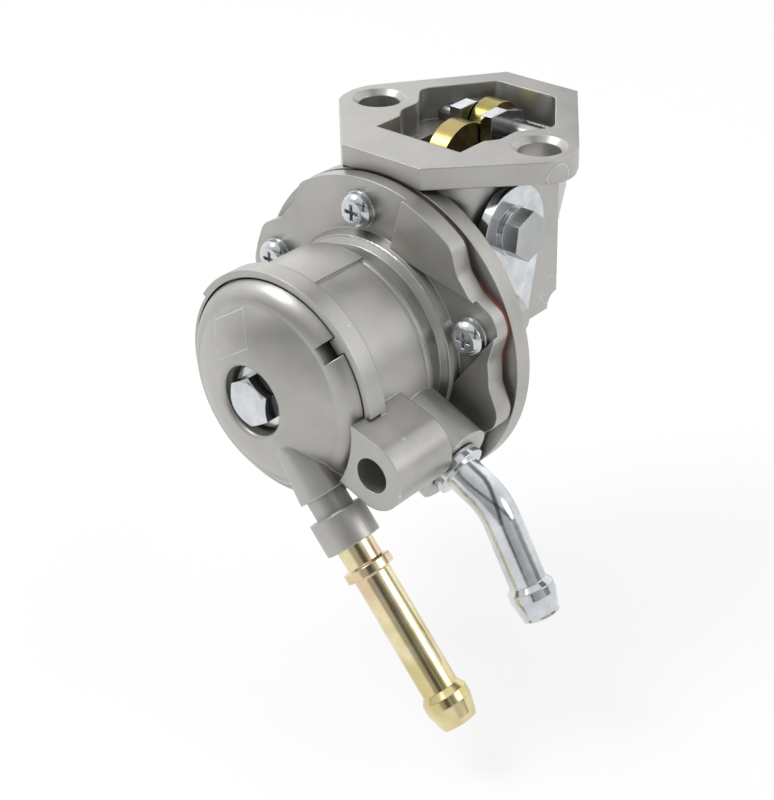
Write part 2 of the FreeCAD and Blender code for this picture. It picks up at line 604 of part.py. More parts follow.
def valve_body():
    body = new_body("valve_body", axial=True)
    valve_flange(body)
    drum(body)
    open_collar_side(body)
    radial_rod(body, "Revolution", "outlet_angle", "outlet_at", "12", "outlet_end", "outlet_radius - 0.5",
               "outlet_radius")
    side_lug(body)
    valve_rooms(body)
    valve_wells(body)
    locating_key(body)
    for angle in SCREW_ANGLES.values():
        x, y = at_angle("screw_circle", angle)
        rod(body, "Pocket", "XY", "pad_face + 1", "pad_face + 2 - parting", x, y, "screw_hole / 2")


def cover():
    body = new_body("cover", axial=True)
    foot = "land_at + gasket_thick"
    thick = "cover_thick"
    hole, cup = "bolt_thread / 2 + 0.2", "recess_radius + cup_wall"
    turned(body, "Revolution", [
        (hole, f"recess_floor - {thick}"), (cup, f"recess_floor - {thick}"), (cup, f"dome_top - 1.3 * {thick}"),
        ("cover_wall_radius - 1.2", f"shoulder_at - 0.8 * {thick}"), ("cover_wall_radius", "cover_edge_at + 0.3"),
        ("cover_wall_radius", foot), ("cover_radius", foot), ("cover_radius", "cover_edge_at"),
        ("shoulder_radius", "shoulder_at", "shoulder_round"),
        ("recess_radius + recess_round", "dome_top", "dome_round"),
        ("recess_radius", "dome_top - recess_round", "recess_round"), ("recess_radius", "recess_floor"),
        (hole, "recess_floor")])
    nose = "bulge_radius - 1"
    spun(body, "Revolution", radial_sketch(body, "inlet_at", "-inlet_angle", [
        ("bulge_from", "0", nose), ("cover_radius", "0"), ("cover_radius", "bulge_radius"),
        (f"bulge_from + {nose}", nose)]))
    radial_rod(body, "Revolution", "inlet_angle", "inlet_at", "cover_wall_radius", "inlet_boss_from + 1",
               "neck_radius")
    radial_rod(body, "Revolution", "inlet_angle", "inlet_at", "inlet_boss_from", "inlet_boss_end",
               "inlet_boss_radius")
    radial_rod(body, "Groove", "inlet_angle", "inlet_at", "inlet_boss_end - tube_seat", "inlet_boss_end + 1",
               "tube_diameter / 2 + running_gap / 2")
    return body


def finish_cover(body):
    radial_rod(body, "Groove", "inlet_angle", "inlet_at", "15", "inlet_boss_end", "tube_bore / 2")
    side, outer = "notch_width / 2", "cover_radius + 1"
    sketch = radial_sketch(body, "shoulder_at + 2", "key_angle", [
        ("notch_inner", f"-{side}"), (outer, f"-{side}"), (outer, side), ("notch_inner", side)])
    extrude(body, "Pocket", sketch, "shoulder_rise + 2")


def hexagon(across):
    corner = f"({across}) / sqrt(3)"
    return [at_angle(corner, angle) for angle in range(30, 390, 60)]


def cover_bolt():
    body = new_body("cover_bolt", axial=True)
    seat = "recess_floor + bolt_washer_thick"
    block(body, "Pad", "XY", seat, "bolt_head", hexagon("bolt_across"))
    rim, top = "(bolt_across / 2 - 0.2)", f"{seat} + bolt_head"
    turned(body, "Groove", [
        (rim, top), ("bolt_across", top), ("bolt_across", f"{top} - (bolt_across - {rim}) * tan(30)")])
    rod(body, "Pad", "XY", "bolt_reach", f"{seat} - bolt_reach + 0.5", "0", "0", "bolt_thread / 2")
    tidy_ring("cover_bolt_washer", "bolt_thread / 2 + 0.1", "bolt_washer / 2", "recess_floor", seat)


def at_screws(label, build):
    """The same piece at each screw place, as separate solids in one node."""
    copies = []
    for name, angle in SCREW_ANGLES.items():
        x, y = at_angle("screw_circle", angle)
        copy = doc.addObject("PartDesign::Body", f"{label}_{name}")
        place(copy, x, "0", f"{y} - axis_drop", AXIAL)
        build(copy)
        copies.append(copy)
    group = doc.addObject("Part::Compound", label)
    group.Links = copies
    group.Label = label
    NODES.append(group)


def flange_screw(body):
    seat = "clamp_face + spring_washer_thick"
    head = "screw_head / 2"
    top = f"{seat} + screw_head_height"
    thread = "screw_thread / 2"
    turned(body, "Revolution", [
        ("0", "screw_back"), (thread, "screw_back"), (thread, seat), (head, seat),
        (head, f"{seat} + screw_head_height / 2"), (f"{head} - 1.2", top, "screw_head_height"), ("0", top)])
    arm, slot = "1.9", "0.45"
    block(body, "Pocket", "XY", top, "1.5", [
        (arm, slot), (slot, slot), (slot, arm), (f"-{slot}", arm), (f"-{slot}", slot), (f"-{arm}", slot),
        (f"-{arm}", f"-{slot}"), (f"-{slot}", f"-{slot}"), (f"-{slot}", f"-{arm}"), (slot, f"-{arm}"),
        (slot, f"-{slot}"), (arm, f"-{slot}")])


def screw_washer(body):
    turned(body, "Revolution", [
        ("screw_hole / 2", "clamp_face"), ("spring_washer / 2", "clamp_face"),
        ("spring_washer / 2", "clamp_face + spring_washer_thick"),
        ("screw_hole / 2", "clamp_face + spring_washer_thick")])


def tube_profile(outer, bore, start, bead, tip, bead_radius):
    """Section of a straight hose stub: bead near its seat and a barb near its tip."""
    wide = "bead_width / 2"
    barb = "barb_diameter / 2"
    return [
        (start, bore), (tip, bore), (tip, f"{outer} - 0.3"), (f"{tip} - 1.2", f"{outer} + 0.2"),
        (f"{tip} - 4.5", barb), (f"{tip} - 6.5", barb), (f"{tip} - 8", outer),
        (f"{bead} + {wide} + 0.4", outer), (f"{bead} + {wide}", bead_radius), (f"{bead} - {wide}", bead_radius),
        (f"{bead} - {wide} - 0.4", outer), (start, outer)]


def inlet_tube():
    body = new_body("inlet_tube", axial=True)
    profile = tube_profile("tube_diameter / 2", "tube_bore / 2", "inlet_boss_end - tube_seat",
                           "inlet_bead", "inlet_tip", "bead_diameter / 2")
    spun(body, "Revolution", radial_sketch(body, "inlet_at", "-inlet_angle", profile))


def outlet_tube():
    """Bent hose stub: a straight start in the boss, one bend, and a straight leg with the barb."""
    body = new_body("outlet_tube", axial=True)
    start, bend, leg = "outlet_end - tube_seat", "outlet_bend", "outlet_leg"
    outer, bore, turn = "tube_diameter / 2", "tube_bore / 2", "outlet_turn"
    tangent = f"outlet_bend_radius * tan({turn} / 2)"
    path = radial_sketch(body, "outlet_at", "-outlet_angle", [])
    joints = [(start, "0"), (f"{bend} - {tangent}", "0"),
              (f"{bend} + {tangent} * cos({turn})", f"-({tangent}) * sin({turn})"),
              (f"{bend} + {leg} * cos({turn})", f"-{leg} * sin({turn})")]
    points = [Vector(size(x), size(y), 0) for x, y in joints]
    path.addGeometry(Part.LineSegment(points[0], points[1]), False)
    path.addGeometry(arc_between(points[1], points[2], -size("outlet_bend_radius")), False)
    path.addGeometry(Part.LineSegment(points[2], points[3]), False)
    path.addConstraint(Sketcher.Constraint("Coincident", 0, 2, 1, 2))
    path.addConstraint(Sketcher.Constraint("Coincident", 1, 1, 2, 1))
    for edge, end, joint in ((0, 1, 0), (0, 2, 1), (2, 1, 2), (2, 2, 3)):
        pin_point(path, edge, end, *joints[joint])
    radius = path.addConstraint(Sketcher.Constraint("Radius", 1, size("outlet_bend_radius")))
    path.renameConstraint(radius, "bend")
    path.setExpression("Constraints.bend", bound("outlet_bend_radius"))
    section = body.newObject("Sketcher::SketchObject", "Section")
    section.AttachmentSupport = [(path, "Edge1")]
    section.MapMode = "NormalToEdge"
    section.MapPathParameter = 0.0
    ring(section, "0", "0", outer)
    ring(section, "0", "0", bore)
    doc.recompute()
    pipe = body.newObject("PartDesign::AdditivePipe", "Pipe")
    pipe.Profile = section
    pipe.Spine = (path, ["Edge1", "Edge2", "Edge3"])
    doc.recompute()
    wide = "bead_width / 2"
    bead = "outlet_end + 0.3 + bead_width / 2"
    bead_top = "outlet_bead_diameter / 2"
    spun(body, "Revolution", radial_sketch(body, "outlet_at", "-outlet_angle", [
        (f"{bead} - {wide}", f"{outer} - 0.3"), (f"{bead} + {wide} + 0.4", f"{outer} - 0.3"),
        (f"{bead} + {wide}", bead_top), (f"{bead} - {wide}", bead_top)]))
    crest = "barb_diameter / 2"
    spun(body, "Revolution", radial_sketch(body, "outlet_at", f"-(outlet_angle + {turn})", [
        (f"{leg} - 8", f"{outer} - 0.3"), (leg, f"{outer} - 0.3"), (f"{leg} - 1.2", f"{outer} + 0.2"),
        (f"{leg} - 4.5", crest), (f"{leg} - 6.5", crest)],
        f"{bend} * cos(outlet_angle)", f"-{bend} * sin(outlet_angle)"))


def diaphragm_set():
    front = "parting + diaphragm_thick"
    stem = "stem_diameter / 2"
    diaphragm = new_body("diaphragm", axial=True)
    block(diaphragm, "Pad", "XY", "parting", "diaphragm_thick", lobed_outline("diaphragm_inset"))
    soften(diaphragm, "Fillet", lambda e: along(e, Vector(0, 0, 1)), "lobe_round")
    rod(diaphragm, "Pocket", "XY", front, "diaphragm_thick", "0", "0", f"{stem} + running_gap / 2")
    for angle in SCREW_ANGLES.values():
        x, y = at_angle("screw_circle", angle)
        rod(diaphragm, "Pocket", "XY", front, "diaphragm_thick", x, y, "screw_hole / 2")
    for label, back in (("back_plate", "parting - plate_thick"), ("front_plate", front)):
        tidy_ring(label, f"{stem} + running_gap / 2", "plate_diameter / 2", back, f"{back} + plate_thick")
    body = new_body("diaphragm_stem", axial=True)
    button = "button_diameter / 2"
    tail = "-(link_fork_back + 0.1)"
    turned(body, "Revolution", [
        ("0", f"{tail} - button_thick"), (button, f"{tail} - button_thick"), (button, tail), (stem, tail),
        (stem, f"{front} + plate_thick"), (f"{stem} + 1.6", f"{front} + plate_thick"),
        (f"{stem} + 1", f"{front} + plate_thick + 1.2"), ("0", f"{front} + plate_thick + 1.2")])
    tidy_ring("stem_seal", f"{stem} + running_gap / 2", "seal_pocket / 2", "seal_back", "chamber_floor_at - 0.2")
    tidy_ring("seal_retainer", f"{stem} + 0.6", "retainer_diameter / 2", "chamber_floor_at",
              "chamber_floor_at + 0.8")
    coil("diaphragm_spring", "spring_radius", "spring_wire",
         "parting - plate_thick - chamber_floor_at - 0.8", 3, "0", "-(chamber_floor_at + 0.8 + spring_wire / 2)",
         "-axis_drop", AXIAL)


def valve_set():
    """Two equal valves, each with a pressed seat, a disc and a light spring."""
    well = "valve_well / 2"
    disc = "valve_disc / 2"
    port = "port_diameter / 2"
    seat, lift = "valve_seat_thick", "valve_lift"
    inlet_floor = "pump_room_depth + 3.5"
    outlet_start = "pump_room_depth"
    for name, angle, seat_back, disc_back, spring_back, spring_room in (
            ("inlet_valve", "180 - outlet_angle", f"{inlet_floor} + valve_disc_thick + {lift} + 2.4",
             f"{inlet_floor} + {lift} + 2.35", inlet_floor, f"{lift} + 2.35"),
            ("outlet_valve", "-outlet_angle", outlet_start, f"{outlet_start} + {seat} + 0.05",
             f"{outlet_start} + {seat} + 0.05 + valve_disc_thick",
             f"outlet_well - {seat} - 0.05 - valve_disc_thick")):
        x, y = at_angle("valve_circle", angle)
        for piece, inner, outer, back, thick in (
                ("seat", port, well, seat_back, seat), ("disc", "0", disc, disc_back, "valve_disc_thick")):
            body = new_body(f"{name}_{piece}")
            place(body, x, "0", f"{y} - axis_drop", AXIAL)
            turned(body, "Revolution", [
                (inner, back), (outer, back), (outer, f"{back} + {thick}"), (inner, f"{back} + {thick}")])
        coil(f"{name}_spring", "valve_spring_radius", "valve_spring_wire", spring_room, 3, x,
             f"-({spring_back} + valve_spring_wire / 2)", f"{y} - axis_drop", AXIAL)


def bowl_pieces():
    tidy_ring("cover_gasket", "ledge_radius", "gasket_radius", "land_at", "land_at + gasket_thick")
    tidy_ring("strainer", "post_radius + 0.1", "ledge_radius - 0.1", "ledge_at", "ledge_at + strainer_thick")


def side_block(body, kind, left, right, corners):
    """Plate across X between two faces; corners are (y, z)."""
    start = left if kind == "Pad" else right
    return block(body, kind, "YZ", start, f"({right}) - ({left})", corners)


def side_disc(body, kind, left, right, y, z, radius):
    start = left if kind == "Pad" else right
    return rod(body, kind, "YZ", start, f"({right}) - ({left})", y, z, radius)


def rocker_arm():
    body = new_body("rocker_arm")
    left, right = "-arm_left", "arm_right"
    side_disc(body, "Pad", left, right, "pivot_back", "-pivot_drop", "arm_hub")
    side_disc(body, "Pad", left, right, "arm_pad_back", "-arm_pad_drop", "arm_pad")
    side_block(body, "Pad", left, right, [
        ("arm_pad_back", "-arm_pad_drop - 5"), ("pivot_back", "-pivot_drop - 5"),
        ("pivot_back - 4", "-pivot_drop + 1"), ("arm_pad_back + 4", "-arm_pad_drop + 5")])
    side_block(body, "Pad", left, right, [
        ("-4.5", "-arm_pad_drop - 3"), ("-1.5", "-26"), ("2.6", "-26"), ("arm_pad_back + 3", "-arm_pad_drop - 5")])
    nose = "-(rocker_spring_forward + rocker_spring_radius + 0.5)"
    side_block(body, "Pad", left, right, [
        (nose, "-11.6"), ("-3", "-11.6"), ("-3", "-8.6"), (nose, "-8.6")])
    side_disc(body, "Pocket", left, right, "pivot_back", "-pivot_drop", "(pin_diameter + running_gap) / 2")


def link_lever():
    body = new_body("link_lever")
    inner_right, outer_right = "arm_right + cheek_gap", "arm_right + cheek_gap + cheek"
    inner_left, outer_left = "-arm_left - cheek_gap", "-arm_left - cheek_gap - cheek"
    for left, right in ((outer_left, inner_left), (inner_right, outer_right)):
        side_block(body, "Pad", left, right, [
            ("link_top_front", "-link_top"), ("pivot_back - 2.5", "-link_top"), ("pivot_back + 3.2", "-2.6"),
            ("pivot_back + link_hub", "-pivot_drop"), ("pivot_back", "-pivot_drop - link_hub"),
            ("9", "-15.5"), ("5.5", "-22"), ("4.4", "-34"), ("-0.8", "-34"), ("2.8", "-21"), ("link_top_front", "-12")])
    side_block(body, "Pad", outer_left, outer_right, [
        ("4.6", "-21.2"), ("5.4", "-21.2"), ("5.2", "-27"), ("2.7", "-26")])
    back, front = "link_fork_back", "link_fork_back - link_fork_thick"
    stem, room = "-axis_drop", "stem_diameter / 2 + 0.3"
    side_block(body, "Pad", outer_left, "link_right", [
        (back, "-31"), (back, f"{stem} - 0.3"), (f"{back} - 0.7", "-link_end"), (front, "-link_end"), (front, "-31")])
    side_block(body, "Pocket", f"-({room})", room, [
        ("-3", f"{stem} + {room} + fork_slot_rise - 0.3"), ("6", f"{stem} + {room} + fork_slot_rise - 0.3"),
        ("6", "-link_end - 1"), ("-3", "-link_end - 1")])
    side_disc(body, "Pocket", outer_left, outer_right, "pivot_back", "-pivot_drop",
              "(pin_diameter + running_gap) / 2")


def rocker_pin():
    body = new_body("rocker_pin")
    side_disc(body, "Pad", "-pin_half", "pin_half", "pivot_back", "-pivot_drop", "pin_diameter / 2")


def rocker_spring():
    coil("rocker_spring", "rocker_spring_radius", "rocker_spring_wire", "crank_room_depth - 11.6", 4,
         "-(arm_left - arm_right) / 2", "-rocker_spring_forward", "-crank_room_depth + rocker_spring_wire / 2")


def primer():
    y, z = "-primer_forward", "-primer_drop"
    lever = new_body("primer_lever")
    left = "housing_half + primer_gap"
    right = f"{left} + primer_thick"
    head, tip, reach = "primer_head", "primer_tip", "primer_length"

    side_disc(lever, "Pad", left, right, y, z, head)
    side_disc(lever, "Pad", left, right, y, f"{z} - {reach}", tip)
    side_block(lever, "Pad", left, right, [
        (f"{y} - {head}", z), (f"{y} - {tip}", f"{z} - {reach}"), (f"{y} + {tip}", f"{z} - {reach}"),
        (f"{y} + {head}", z)])
    thread = "primer_thread / 2"
    side_disc(lever, "Pocket", left, right, y, z, f"{thread} + 0.1")
    spindle = new_body("primer_spindle")
    inner = "spindle_inner"
    side_disc(spindle, "Pad", inner, left, y, z, "spindle_diameter / 2")
    side = "crank_width / 2"
    side_block(spindle, "Pad", inner, f"{inner} + crank_thick", [
        (f"{y} - {side}", z), (f"{y} - {side}", f"{z} - crank_length"), (f"{y} + {side}", f"{z} - crank_length"),
        (f"{y} + {side}", z)])
    side_disc(spindle, "Pocket", "8", left, y, z, f"{thread} + 0.02")
    washer = new_body("primer_washer")
    face = f"{right} + primer_washer_thick"
    side_disc(washer, "Pad", right, face, y, z, "primer_washer / 2")
    side_disc(washer, "Pocket", right, face, y, z, f"{thread} + 0.1")
    bolt = new_body("primer_bolt")
    corner = "bolt_across / sqrt(3)"
    side_block(bolt, "Pad", face, f"{face} + primer_bolt_head", [
        (f"{y} + {corner} * cos({angle})", f"{z} + {corner} * sin({angle})") for angle in range(20, 380, 60)])
    side_disc(bolt, "Pad", "9", f"{face} + 0.5", y, z, thread)
    seal = new_body("spindle_seal")
    seal_right = "housing_half - 0.2"
    seal_left = f"{seal_right} - spindle_seal_thick"
    side_disc(seal, "Pad", seal_left, seal_right, y, z, "spindle_seal / 2")
    side_disc(seal, "Pocket", seal_left, seal_right, y, z, "(spindle_diameter + running_gap) / 2")


pump_body()
valve_body()
finish_cover(cover())
cover_bolt()
at_screws("flange_screws", flange_screw)
at_screws("screw_washers", screw_washer)
inlet_tube()
outlet_tube()
diaphragm_set()
valve_set()
bowl_pieces()
rocker_arm()
link_lever()
rocker_pin()
rocker_spring()
primer()

faults = []
for item in doc.Objects:
    if "Invalid" in item.State or "Error" in item.State:
        faults.append(item.Label)
for node in NODES:
    if node.Shape.isNull() or not node.Shape.isValid():
        faults.append(node.Label)
if faults:
    raise RuntimeError("these did not build: " + ", ".join(faults))

os.makedirs("parts", exist_ok=True)
for node in NODES:
    node.Shape.exportStep(f"parts/{node.Label}.step")
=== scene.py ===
import math

import bpy
from mathutils import Matrix, Vector


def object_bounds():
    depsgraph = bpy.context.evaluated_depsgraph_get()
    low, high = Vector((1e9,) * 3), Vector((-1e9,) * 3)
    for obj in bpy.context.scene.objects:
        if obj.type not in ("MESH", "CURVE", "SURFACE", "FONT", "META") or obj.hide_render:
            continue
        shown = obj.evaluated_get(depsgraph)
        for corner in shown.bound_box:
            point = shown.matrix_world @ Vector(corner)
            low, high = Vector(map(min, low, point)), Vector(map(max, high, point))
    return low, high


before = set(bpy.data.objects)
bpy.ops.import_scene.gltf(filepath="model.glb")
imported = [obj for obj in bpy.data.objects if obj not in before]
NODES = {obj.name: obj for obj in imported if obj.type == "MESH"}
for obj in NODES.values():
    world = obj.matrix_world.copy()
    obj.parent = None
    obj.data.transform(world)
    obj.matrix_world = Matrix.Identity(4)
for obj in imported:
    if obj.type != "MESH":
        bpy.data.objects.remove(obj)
SIZE_AT_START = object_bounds()
MM = 0.001

# Camera, fitted to the holes, rims and bolt of the photographed pump.
AIM = Vector((0.0, 0.0, -40.0)) * MM
AZIMUTH = math.radians(39.08)
ELEVATION = math.radians(27.19)
ROLL = math.radians(-0.21)
DISTANCE = 398.0 * MM
FOCAL_PIXELS = 1703.35
FRAME_HEIGHT = 800
AIM_OFFSET = (70.4, -119.7)
SENSOR = 36.0
CLIP_NEAR, CLIP_FAR = 0.01, 50.0

# Floor, just under the lower hose stub.
FLOOR_GAP = 8.9 * MM
FLOOR_HEIGHT = SIZE_AT_START[0][2] - FLOOR_GAP
FLOOR_SIDE = 6.0
FLOOR_LEVEL = 0.92
WHITE_SHARE = 0.75

# White tent, brighter behind the pump; its dark seams give the plated parts their streaks.
BRIGHT_SIDE = (-0.5, 0.8, 0.25)
TENT_DIM, TENT_BRIGHT = 0.45, 1.35
TENT_TURN = 0.9
SEAM_FADE = 1.6
SEAMS = (
    {"across": (0.75, 0.55, -0.36), "width": 0.10, "light_left": 0.2},
    {"across": (-0.35, 0.45, 0.82), "width": 0.07, "light_left": 0.35},
)
LAMPS = {
    "key_light": {"place": (-0.45, -0.35, 0.75), "size": 0.4, "power": 3.2},
    "side_light": {"place": (0.9, 0.3, 0.45), "size": 0.5, "power": 1.5},
}

# Where the Bevel node's normal leaves the face's own, a surface is an edge.
FLAT_MATCH, SHARP_MATCH = 0.999, 0.93
CAST_EDGE_RADIUS = 0.4 * MM
PLATED_EDGE_RADIUS = 0.25 * MM
# Reach of the painted shade that darkens the hollows.
PAINTED_SHADE_REACH = 5.0 * MM
MARK_WIDTH = 0.22 * MM

# Noise cells in a metre, from the broadest clouds to the finest grain.
CAST_CLOUDS, CAST_WAVES, MARK_PATCHES, CAST_NICKS, CAST_GRAIN = 60.0, 140.0, 300.0, 420.0, 1500.0
ZINC_STAINS, ZINC_FLOW, PLATED_GRAIN = 130.0, 220.0, 900.0
CHROMATE_DRIFT, CHROMATE_STAINS = 48.0, 150.0
MOTTLES, MATT_GRAIN = 400.0, 1800.0

# The diaphragm's edge shows red between these heights and is darkened with painted shade elsewhere.
RED_TOP, SHADE_TOP = -23.0 * MM, -20.5 * MM
RED_BOTTOM, SHADE_BOTTOM = -37.5 * MM, -40.0 * MM


class Graph:
    """Shader nodes of one material or world, wired by plain calls."""

    def __init__(self, tree):
        self.tree = tree
        tree.nodes.clear()

    def feed(self, socket, value):
        if isinstance(value, bpy.types.NodeSocket):
            self.tree.links.new(value, socket)
        else:
            socket.default_value = value

    def add(self, kind, inputs=None, **settings):
        node = self.tree.nodes.new("ShaderNode" + kind)
        for name, value in settings.items():
            setattr(node, name, value)
        for name, value in (inputs or {}).items():
            self.feed(node.inputs[name], value)
        return node

    def place(self):
        return self.add("TexCoord").outputs["Object"]

    def noise(self, where, scale, detail=4.0, roughness=0.5):
        node = self.add("TexNoise", {"Vector": where, "Scale": scale, "Detail": detail,
                                     "Roughness": roughness})
        return node.outputs["Fac"]

    def span(self, value, low, high, out_low=0.0, out_high=1.0):
        node = self.add("MapRange", {"Value": value, "From Min": low, "From Max": high,
                                     "To Min": out_low, "To Max": out_high})
        return node.outputs["Result"]

    def blend(self, amount, first, second):
        """Colour mix; a Mix node keeps its colour sockets behind those of other data types."""
        node = self.add("Mix", data_type="RGBA")
        self.feed(node.inputs[0], amount)
        self.feed(node.inputs[6], first)
        self.feed(node.inputs[7], second)
        return node.outputs[2]

    def maths(self, kind, first, second=0.0):
        return self.add("Math", {0: first, 1: second}, operation=kind).outputs[0]

    def vector(self, kind, *values):
        return self.add("VectorMath", dict(enumerate(values)), operation=kind).outputs

    def edges(self, radius):
        """1 where the surface turns sharply and 0 on flat ground, and the rounded normal."""
        bevel = self.add("Bevel", {"Radius": radius}, samples=8)
        rounded = bevel.outputs["Normal"]
        straight = self.add("NewGeometry").outputs["Normal"]
        match = self.vector("DOT_PRODUCT", rounded, straight)["Value"]
        return self.span(match, FLAT_MATCH, SHARP_MATCH), rounded

    def line(self, distance):
        """1 along the thin line where the distance is nought."""
        return self.span(self.maths("ABSOLUTE", distance), 0.5 * MARK_WIDTH, MARK_WIDTH, 1.0, 0.0)

    def bump(self, height, depth, strength, normal=None):
        inputs = {"Height": height, "Distance": depth, "Strength": strength}
        if normal is not None:
            inputs["Normal"] = normal
        return self.add("Bump", inputs).outputs["Normal"]

    def finish(self, **inputs):
        named = {name.replace("_", " "): value for name, value in inputs.items()}
        shader = self.add("BsdfPrincipled", named)
        self.add("OutputMaterial", {"Surface": shader.outputs["BSDF"]})


def material(name):
    made = bpy.data.materials.new(name)
    made.use_nodes = True
    return made, Graph(made.node_tree)


def tone(level, warm=1.0, cool=1.0):
    """Grey of a level, with its red and blue scaled."""
    return (level * warm, level, level * cool, 1.0)


CAST_DARK = tone(0.40, 1.02, 0.94)
CAST_LIGHT = tone(0.50, 1.015, 0.955)
# Painted shade colour for the hollows.
CAST_PAINTED_SHADE = tone(0.14, 1.05, 0.86)
# Painted highlight colour for the edges.
CAST_EDGE_HIGHLIGHT = tone(0.62, 1.01, 0.96)
CAST_NICK = tone(0.62)
# Painted highlight colour for the die's marks.
MARK_HIGHLIGHT = tone(0.72)
CHROMATE_BROWN = (0.42, 0.34, 0.16, 1)
# Painted highlight colour for the chromate's edges.
CHROMATE_EDGE_HIGHLIGHT = (0.92, 0.84, 0.6, 1)


def box_line(g, where, centre, half_width, half_height, turn):
    """Thin outline of a turned rectangle on a face that looks along y."""
    spun = g.add("Mapping", {"Vector": where, "Location": centre, "Rotation": (0.0, turn, 0.0)},
                 vector_type="TEXTURE").outputs[0]
    part = g.add("SeparateXYZ", {0: spun}).outputs
    past_side = g.maths("SUBTRACT", g.maths("ABSOLUTE", part["X"]), half_width)
    past_top = g.maths("SUBTRACT", g.maths("ABSOLUTE", part["Z"]), half_height)
    return g.line(g.maths("MAXIMUM", past_side, past_top))


def ring_line(g, where, centre, radius):
    """Thin ring where a sphere round the centre meets the surface."""
    away = g.vector("LENGTH", g.vector("SUBTRACT", where, centre)[0])["Value"]
    return g.line(g.maths("SUBTRACT", away, radius))


COVER_MARKS = (
    (box_line, {"centre": (-7.0 * MM, 0.0, -28.4 * MM), "half_width": 5.0 * MM, "half_height": 3.9 * MM,
                "turn": math.radians(-33.0)}),
)
BODY_MARKS = (
    (ring_line, {"centre": (20.5 * MM, 8.4 * MM, -39.1 * MM), "radius": 3.3 * MM}),
    (ring_line, {"centre": (28.8 * MM, -3.0 * MM, -4.0 * MM), "radius": 3.4 * MM}),
)


def cast_metal(name, marks=()):
    """Satin die casting: soft clouds, fine grain, nicks, a painted highlight along the edges and painted
    shade in the hollows.

    The marks are the die's own lines: they stand up a little, and a painted highlight lightens them.
    """
    made, g = material(name)
    where = g.place()
    edge, rounded = g.edges(CAST_EDGE_RADIUS)
    clouds = g.noise(where, CAST_CLOUDS, detail=5.0, roughness=0.6)
    specks = g.noise(where, CAST_GRAIN, detail=2.0)
    colour = g.blend(g.span(clouds, 0.35, 0.7), CAST_DARK, CAST_LIGHT)
    # Painted shade: ambient occlusion darkens the hollows towards a brown-grey.
    open_air = g.add("AmbientOcclusion", {"Distance": PAINTED_SHADE_REACH}, samples=6).outputs["AO"]
    colour = g.blend(g.span(open_air, 0.8, 0.2, 0.0, 0.8), colour, CAST_PAINTED_SHADE)
    # Painted highlight: the edges are lightened towards a pale grey.
    colour = g.blend(g.maths("MULTIPLY", edge, 0.4), colour, CAST_EDGE_HIGHLIGHT)
    nicks = g.maths("MULTIPLY", edge, g.span(g.noise(where, CAST_NICKS, detail=3.0), 0.62, 0.70))
    pits = g.span(g.noise(where, CAST_NICKS, detail=1.0), 0.785, 0.80)
    colour = g.blend(g.maths("MAXIMUM", nicks, pits), colour, CAST_NICK)
    relief = g.bump(specks, depth=0.03 * MM, strength=0.3, normal=rounded)
    for shape, sizes in marks:
        patchy = g.span(g.noise(where, MARK_PATCHES), 0.35, 0.5, 0.4, 1.0)
        line = g.maths("MULTIPLY", shape(g, where, **sizes), patchy)
        # Painted highlight: the marks are lightened towards a pale grey.
        colour = g.blend(g.maths("MULTIPLY", line, 0.55), colour, MARK_HIGHLIGHT)
        relief = g.bump(line, depth=0.2 * MM, strength=0.8, normal=relief)
    waves = g.noise(where, CAST_WAVES, detail=3.0)
    relief = g.bump(waves, depth=0.12 * MM, strength=0.25, normal=relief)
    rough = g.span(clouds, 0.3, 0.7, 0.32, 0.42)
    g.finish(Base_Color=colour, Metallic=0.8, Roughness=rough, Normal=relief)
    return made


def plated_grain(g, where, rounded):
    """Fine texture that all plated parts share."""
    return g.bump(g.noise(where, PLATED_GRAIN, detail=3.0), depth=0.02 * MM, strength=0.15, normal=rounded)


def zinc(name, low, high, rough_low, rough_high):
    """Plated steel: bright, with faint flow marks and small stains, and a painted highlight along the
    edges.
    """
    made, g = material(name)
    where = g.place()
    edge, rounded = g.edges(PLATED_EDGE_RADIUS)
    stains = g.noise(where, ZINC_STAINS, detail=6.0, roughness=0.65)
    colour = g.blend(g.span(stains, 0.35, 0.7), low, high)
    # Painted highlight: the edges are lightened to the bright tone.
    colour = g.blend(g.maths("MULTIPLY", edge, 0.5), colour, high)
    rough = g.span(stains, 0.3, 0.75, rough_low, rough_high)
    relief = plated_grain(g, where, rounded)
    relief = g.bump(g.noise(where, ZINC_FLOW, detail=2.0), depth=0.15 * MM, strength=0.2, normal=relief)
    g.finish(Base_Color=colour, Metallic=1.0, Roughness=rough, Normal=relief)
    return made


def passivated(name, colours, rough_low, rough_high):
    """Yellow chromate over zinc: slow drifts between gold, green and rose, with brown stains and a painted
    highlight along the edges.
    """
    made, g = material(name)
    where = g.place()
    edge, rounded = g.edges(PLATED_EDGE_RADIUS)
    broad = g.span(g.noise(where, CHROMATE_DRIFT, detail=3.0, roughness=0.55), 0.36, 0.66)
    drift = g.add("ValToRGB", {"Fac": broad})
    ramp = drift.color_ramp
    while len(ramp.elements) < len(colours):
        ramp.elements.new(0.5)
    for index, (stop, shade) in enumerate(zip(ramp.elements, colours)):
        stop.position = index / (len(colours) - 1)
        stop.color = shade
    stains = g.noise(where, CHROMATE_STAINS, detail=6.0, roughness=0.65)
    colour = g.blend(g.span(stains, 0.45, 0.8, 0.0, 0.35), drift.outputs["Color"], CHROMATE_BROWN)
    # Painted highlight: the edges are lightened towards a pale gold.
    colour = g.blend(g.maths("MULTIPLY", edge, 0.4), colour, CHROMATE_EDGE_HIGHLIGHT)
    rough = g.span(stains, 0.3, 0.75, rough_low, rough_high)
    relief = plated_grain(g, where, rounded)
    g.finish(Base_Color=colour, Metallic=1.0, Roughness=rough, Normal=relief)
    return made


def matt_skin(g, where, colour, rough):
    """Dull, finely pitted finish of rubber, plastic, fibre and cloth."""
    relief = g.bump(g.noise(where, MATT_GRAIN), depth=0.05 * MM, strength=0.4)
    g.finish(Base_Color=colour, Roughness=rough, Normal=relief)


